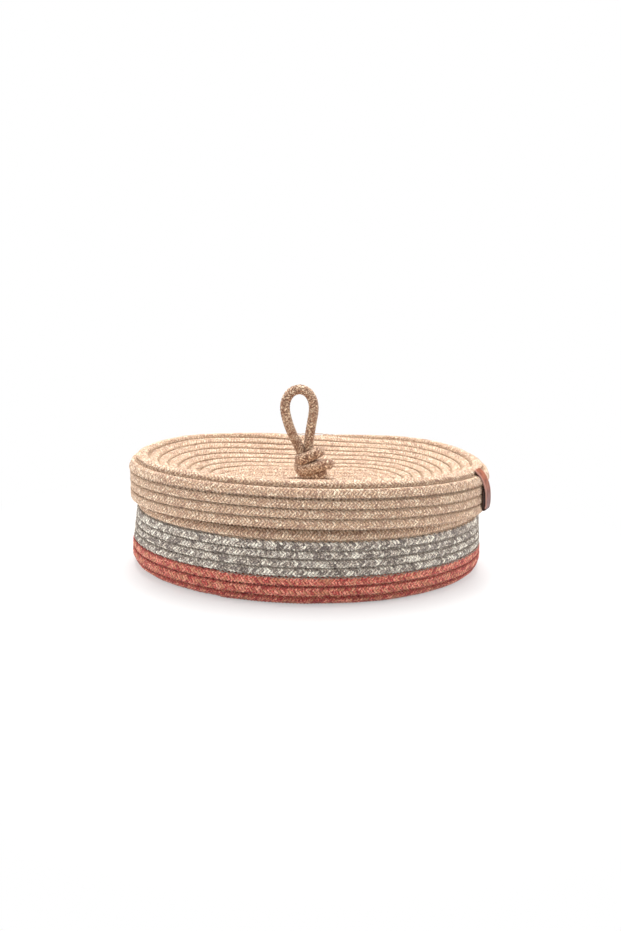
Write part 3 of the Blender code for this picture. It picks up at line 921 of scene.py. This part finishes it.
def smooth_route(points):
    """A smooth curve through the points."""
    points = np.array(points)
    padded = np.concatenate([[2 * points[0] - points[1]], points, [2 * points[-1] - points[-2]]])
    t = (np.arange(CURVE_STEPS) / CURVE_STEPS)[:, None]
    pieces = []
    for p0, p1, p2, p3 in zip(padded, padded[1:], padded[2:], padded[3:]):
        bend = (2 * p0 - 5 * p1 + 4 * p2 - p3) * t**2 + (3 * p1 - p0 - 3 * p2 + p3) * t**3
        pieces.append(0.5 * (2 * p1 + (p2 - p0) * t + bend))
    return np.concatenate(pieces + [points[-1:]])


def free_route(points, step, out, half_across):
    """An evenly spaced route whose outward direction is carried along it without twisting."""
    along, place, _ = evenly(np.array(points), [], step)
    run = unit(np.gradient(place, axis=0))
    outs = [np.array(out, float)]
    for direction in run:
        carried = outs[-1] - direction * outs[-1].dot(direction)
        outs.append(carried / np.linalg.norm(carried))
    return along, place, run, np.array(outs[1:]), np.full(len(along), half_across)


left_end = [(-x, z) for x, z in reversed(END_ROUTE)]
left_leg = [(-LEG_LEAN * z - LEG_HALF_SPACING, z) for z in LEG_HEIGHTS]
right_leg = [(-LEG_LEAN * z + LEG_HALF_SPACING, z) for z in reversed(LEG_HEIGHTS)]
loop = [(x - LOOP_SHIFT, z) for x, z in LOOP_ROUTE]
flat_route = left_end + left_leg + loop + right_leg + END_ROUTE
handle_points = smooth_route([(x, 0, LID_TOP + z) for x, z in flat_route])
tan = cotton(
    "tan cotton",
    dark=(0.21, 0.105, 0.065),
    base=(0.50, 0.315, 0.205),
    light=(0.90, 0.72, 0.52),
    fleck=(0.38, 0.19, 0.12),
    # painted shade between the strands
    hollow_shade=(0.12, 0.05, 0.03),
    amounts=(0.4, 1.3, 0.35, 0.0),
)
handle = braided_tube(
    "handle_loop",
    free_route(handle_points, STRAND_STEP / 3, (0, -1, 0), HANDLE_RADIUS),
    HANDLE_RADIUS,
    tan,
    squareness=2,
)
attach(handle, "lid")
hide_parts("handle_cord")

KNOT_HALF = 0.0045  # of its cord's height, where the knot flattens it
KNOT_SQUARENESS = 2.2
# Where the knot's cord goes, in millimetres, with the height over the top of the dish
KNOT_ROUTE = [
    (-0.5, 6.0, 20.0),
    (-8.0, 5.5, 18.0),
    (-11.2, -1.5, 17.2),
    (-9.2, -7.4, 18.4),
    (-3.6, -9.0, 21.2),
    (2.2, -7.8, 23.8),
    (5.6, -2.0, 24.0),
    (4.6, 5.0, 21.5),
    (-1.0, 8.2, 17.5),
    (-8.0, 7.2, 13.0),
    (-11.4, 1.5, 10.2),
    (-10.2, -5.5, 9.4),
    (-6.0, -9.4, 10.4),
    (-0.5, -10.8, 12.2),
    (5.2, -10.8, 13.8),
    (11.0, -8.4, 14.6),
    (14.0, -2.5, 13.8),
    (11.4, 4.6, 11.6),
    (4.0, 8.4, 9.0),
    (-4.0, 7.6, 7.0),
    (-8.6, 2.6, 5.4),
    (-6.5, -4.6, 4.8),
    (0.0, -6.2, 4.8),
    (6.5, -5.2, 4.8),
    (9.4, 0.5, 4.8),
]
knot_points = smooth_route(np.array(KNOT_ROUTE) * MM + (0, 0, LID_TOP))
along, place, run, _, half = free_route(knot_points, STRAND_STEP / 3, (0, 0, 1), KNOT_HALF)
legs = np.stack([-LEG_LEAN * (place[:, 2] - LID_TOP), 0 * along, place[:, 2]], axis=1)
knot = braided_tube(
    "handle_knot_wraps",
    (along, place, run, square_to(run, place - legs), half),
    HANDLE_RADIUS,
    tan,
    squareness=KNOT_SQUARENESS,
)
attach(knot, "lid")
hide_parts("handle_knot")


# Leather tag. A strip of vegetable-tanned leather that starts over the rim at the right end, bows
# down the skirt and is folded back up beneath itself. Its cut edges are pale; its back and the
# folded-under layer carry painted shade, near black.

TAG_ANGLE = math.radians(-21.5)
TAG_WIDTH, TAG_THICKNESS, TAG_CORNER = 0.0125, 0.0013, 0.0015
TAG_EDGE_ROUND = 0.0004
TAG_STEP = 0.0003
TAG_SHIFT = 0.0022  # of the whole strip towards the front
TAG_LEAN = 0.0105  # of its head, further on
LID_BEND = 0.081  # radius of the lid's side behind it, which it stays close to
TAG_TURN = math.radians(5)  # of its face towards the front
# From its head to its folded end, as the distance out from the skirt's centre line and the height
TAG_LINE = [
    (-0.0028, 0.0921),
    (-0.0014, 0.0909),
    (0.0012, 0.0880),
    (0.0036, 0.0830),
    (0.0052, 0.0760),
    (0.0058, 0.0685),
    (0.0057, 0.0620),
    (0.0051, 0.0585),
    (0.0049, 0.0577),
    (0.0047, 0.0585),
    (0.0047, 0.0620),
    (0.0048, 0.0685),
    (0.0047, 0.0760),
]
FOLD_AT = 0.0353  # along the strip
CORNER_POINTS, FACE_POINTS = 5, 13  # of its section
FACE_SHARES = np.linspace(-0.9, 0.9, FACE_POINTS)

centre = np.array([OVAL_LENGTH * math.cos(TAG_ANGLE), OVAL_WIDTH * math.sin(TAG_ANGLE), 0])
outward = unit(np.array([math.cos(TAG_ANGLE) / OVAL_LENGTH, math.sin(TAG_ANGLE) / OVAL_WIDTH, 0]))
sideways = np.array([-outward[1], outward[0], 0])
faced = outward * math.cos(TAG_TURN) - sideways * math.sin(TAG_TURN)
across_tag = sideways * math.cos(TAG_TURN) + outward * math.sin(TAG_TURN)
along, line, _ = evenly(smooth_route(TAG_LINE), [], TAG_STEP)
run = unit(np.gradient(line, axis=0))
off = np.stack([-run[:, 1], run[:, 0]], axis=1)
from_end = np.minimum(along, along[-1] - along).clip(0, TAG_CORNER)
cut_in = TAG_CORNER - np.sqrt(TAG_CORNER**2 - (TAG_CORNER - from_end) ** 2)
half_width = TAG_WIDTH / 2 - cut_in

foot = min(height for _, height in TAG_LINE)
head_share = (line[:, 1:] - foot) / (TAG_LINE[0][1] - foot)
lean = TAG_SHIFT + TAG_LEAN * head_share
clear = TAG_WIDTH / 2 * math.sin(TAG_TURN) * smoothstep(2 * (1 - head_share))
spine = centre - sideways * lean + outward * (clear - lean**2 / (2 * LID_BEND))

# The section, as the distance in from a side, or else the share of the half-width, with the depth
# from the inner face and the side
bend = np.radians(np.linspace(0, 90, CORNER_POINTS))
quarter = np.stack([1 - np.cos(bend), 1 - np.sin(bend)], axis=1) * TAG_EDGE_ROUND
outline = [(x, y, -1) for x, y in quarter[::-1]]
outline += [(x, TAG_THICKNESS - y, -1) for x, y in quarter]
outline += [(share, TAG_THICKNESS, 0) for share in FACE_SHARES]
outline += [(x, TAG_THICKNESS - y, 1) for x, y in quarter[::-1]]
outline += [(x, y, 1) for x, y in quarter]
outline += [(share, 0, 0) for share in FACE_SHARES[::-1]]
rings = np.zeros((len(along), len(outline), 3))
for i, (x, depth, side) in enumerate(outline):
    width = side * (half_width - x) if side else x * (half_width - TAG_EDGE_ROUND)
    out_by, height = np.split(line + off * depth, 2, axis=1)
    rings[:, i] = spine + faced * out_by + (0, 0, 1) * height + across_tag * width[:, None]


def within(tree, value, low, high):
    """1 where a value lies between two others, and 0 elsewhere."""
    above = maths(tree, "GREATER_THAN", value, low)
    return maths(tree, "MULTIPLY", above, maths(tree, "LESS_THAN", value, high))


FOOT_LEATHER, HEAD_LEATHER = (0.185, 0.08, 0.072, 1), (0.35, 0.098, 0.042, 1)
STAIN, PORE = (0.17, 0.055, 0.04, 1), (0.08, 0.025, 0.02, 1)
# The back colour is the leather's back with painted shade, near black, for where it lies in the
# shade against the wall
CUT_EDGE, BACK_IN_PAINTED_SHADE = (0.46, 0.24, 0.20, 1), (0.055, 0.024, 0.016, 1)
tag_leather, tree, shader = new_material("tag leather")
where = add_node(tree, "ShaderNodeTexCoord").outputs["Object"]
pores = add_node(tree, "ShaderNodeTexVoronoi", {"Vector": where, "Scale": 1500.0}).outputs[0]
blotch = add_node(
    tree, "ShaderNodeTexNoise", {"Vector": where, "Scale": 170.0, "Detail": 5.0}
).outputs[0]
height = add_node(tree, "ShaderNodeSeparateXYZ", {0: where}).outputs[2]
colour = mixed(tree, ranged(tree, height, 0.066, 0.088), FOOT_LEATHER, HEAD_LEATHER)
colour = mixed(tree, ranged(tree, blotch, 0.45, 0.7), colour, STAIN)
colour = mixed(tree, ranged(tree, pores, 0.25, 0.0, 0.0, 0.5), colour, PORE)

# The strip's edges and its back are found by their place round the section
uv = add_node(tree, "ShaderNodeUVMap", uv_map="cord").outputs[0]
around, travelled, _ = add_node(tree, "ShaderNodeSeparateXYZ", {0: uv}).outputs
at_point = maths(tree, "MULTIPLY", around, len(outline))
far_edge = 2 * CORNER_POINTS + FACE_POINTS - 0.5
back_from = far_edge + 2 * CORNER_POINTS
edge = maths(
    tree,
    "MAXIMUM",
    within(tree, at_point, 0.5, 2 * CORNER_POINTS - 0.5),
    within(tree, at_point, far_edge, back_from),
)
colour = mixed(tree, edge, colour, CUT_EDGE)
# Painted shade: the back face and the folded-under layer take the near-black back colour
back = maths(tree, "GREATER_THAN", at_point, back_from)
back = maths(tree, "MAXIMUM", back, maths(tree, "GREATER_THAN", travelled, FOLD_AT))
colour = mixed(tree, back, colour, BACK_IN_PAINTED_SHADE)
tree.links.new(colour, shader.inputs["Base Color"])
tree.links.new(ranged(tree, blotch, 0.3, 0.7, 0.38, 0.58), shader.inputs["Roughness"])
bump = add_node(tree, "ShaderNodeBump", {"Height": pores, "Strength": 0.5, "Distance": 0.0002})
tree.links.new(bump.outputs[0], shader.inputs["Normal"])
shader.inputs["Specular IOR Level"].default_value = 0.3
tag = tube_mesh("leather_strip", rings, along, tag_leather, settled_lid)
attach(tag, "lid")
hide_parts("leather_tag")


# Floor, light and camera. A plain pale floor that fades to white, soft studio light from above, and
# the photograph's own viewpoint.

FLOOR_HALF = 3.0
WHITE_FROM, WHITE_TO = 0.14, 0.34  # distances over which the floor fades to white
NEAR_WHITE = 0.4  # share of white beneath the basket
floor_mesh = bpy.data.meshes.new("floor")
floor_mesh.from_pydata(
    [(x * FLOOR_HALF, y * FLOOR_HALF, 0) for x, y in ((-1, -1), (1, -1), (1, 1), (-1, 1))],
    [],
    [(0, 1, 2, 3)],
)
floor = bpy.data.objects.new("floor", floor_mesh)
bpy.context.collection.objects.link(floor)
floor_paint, tree, unused = new_material("pale floor")
tree.nodes.remove(unused)
paint = add_node(tree, "ShaderNodeBsdfDiffuse", {"Color": (0.86, 0.86, 0.86, 1)})
white = add_node(tree, "ShaderNodeEmission", {"Color": (1, 1, 1, 1), "Strength": 1.0})
place = add_node(tree, "ShaderNodeTexCoord").outputs["Object"]
far = add_node(tree, "ShaderNodeVectorMath", {0: place}, operation="LENGTH").outputs["Value"]
rays = add_node(tree, "ShaderNodeLightPath").outputs
seen = maths(tree, "MAXIMUM", rays["Is Camera Ray"], rays["Is Glossy Ray"])
seen = maths(tree, "MAXIMUM", seen, rays["Is Transmission Ray"])
fade = maths(tree, "MULTIPLY", ranged(tree, far, WHITE_FROM, WHITE_TO, NEAR_WHITE), seen)
blend = add_node(tree, "ShaderNodeMixShader", {0: fade, 1: paint.outputs[0], 2: white.outputs[0]})
output = next(n for n in tree.nodes if n.type == "OUTPUT_MATERIAL")
tree.links.new(blend.outputs[0], output.inputs["Surface"])
floor_mesh.materials.append(floor_paint)

world = bpy.data.worlds.new("studio")
bpy.context.scene.world = world
world.use_nodes = True
tree = world.node_tree
sky = tree.nodes["Background"]
sky.inputs["Color"].default_value = (1, 1, 1, 1)
sky.inputs["Strength"].default_value = 0.52
white = add_node(tree, "ShaderNodeBackground", {"Color": (1, 1, 1, 1), "Strength": 1.0})
rays = add_node(tree, "ShaderNodeLightPath").outputs
blend = add_node(
    tree,
    "ShaderNodeMixShader",
    {0: rays["Is Camera Ray"], 1: sky.outputs[0], 2: white.outputs[0]},
)
output = next(n for n in tree.nodes if n.type == "OUTPUT_WORLD")
tree.links.new(blend.outputs[0], output.inputs["Surface"])


def standing(place, right, up, back):
    """The matrix of a lamp or a camera at a place, from the directions of its own axes."""
    rows = zip(np.stack([right, up, back], axis=1), place)
    return Matrix([(*row, offset) for row, offset in rows] + [(0, 0, 0, 1)])


def softbox(name, place, size, power):
    """A square area light that faces the middle of the basket."""
    light = bpy.data.lights.new(name, "AREA")
    light.shape = "SQUARE"
    light.size = size
    light.energy = power
    ob = bpy.data.objects.new(name, light)
    back = unit(np.array(place) - LIT_PLACE)
    right = unit(np.cross((0, 1, 0.2), back))
    ob.matrix_world = standing(place, right, np.cross(back, right), back)
    bpy.context.collection.objects.link(ob)


LIT_PLACE = (0, 0, 0.06)
softbox("top", (0.0, 0.25, 1.1), 0.9, 19.5)
softbox("left", (-0.95, -0.25, 0.5), 0.6, 4.2)
softbox("right", (0.95, -0.2, 0.5), 0.6, 4.0)

FOCAL_PX, PHOTO_HEIGHT_PX = 624.4, 931
SENSOR_HEIGHT = 36
DISTANCE, CAMERA_HEIGHT, CAMERA_SIDE = 0.51565, 0.2112, -0.00139
PITCH, ROLL, YAW = 0.2434, 0.039, 0.099
camera_data = bpy.data.cameras.new("camera")
camera_data.sensor_fit = "VERTICAL"
camera_data.sensor_height = SENSOR_HEIGHT
camera_data.lens = FOCAL_PX * SENSOR_HEIGHT / PHOTO_HEIGHT_PX
camera_data.clip_start = 0.01
camera = bpy.data.objects.new("camera", camera_data)
sin_yaw, cos_yaw = math.sin(YAW), math.cos(YAW)
sin_pitch, cos_pitch = math.sin(PITCH), math.cos(PITCH)
right = np.array([cos_yaw, -sin_yaw, 0])
ahead = np.array([sin_yaw * cos_pitch, cos_yaw * cos_pitch, -sin_pitch])
up = np.array([sin_yaw * sin_pitch, cos_yaw * sin_pitch, cos_pitch])
rolled_right = right * math.cos(ROLL) + up * math.sin(ROLL)
rolled_up = up * math.cos(ROLL) - right * math.sin(ROLL)
spot = (
    CAMERA_SIDE * cos_yaw - DISTANCE * sin_yaw,
    -CAMERA_SIDE * sin_yaw - DISTANCE * cos_yaw,
    CAMERA_HEIGHT,
)
camera.matrix_world = standing(spot, rolled_right, rolled_up, -ahead)
bpy.context.collection.objects.link(camera)
bpy.context.scene.camera = camera
bpy.context.scene.view_settings.view_transform = "Standard"
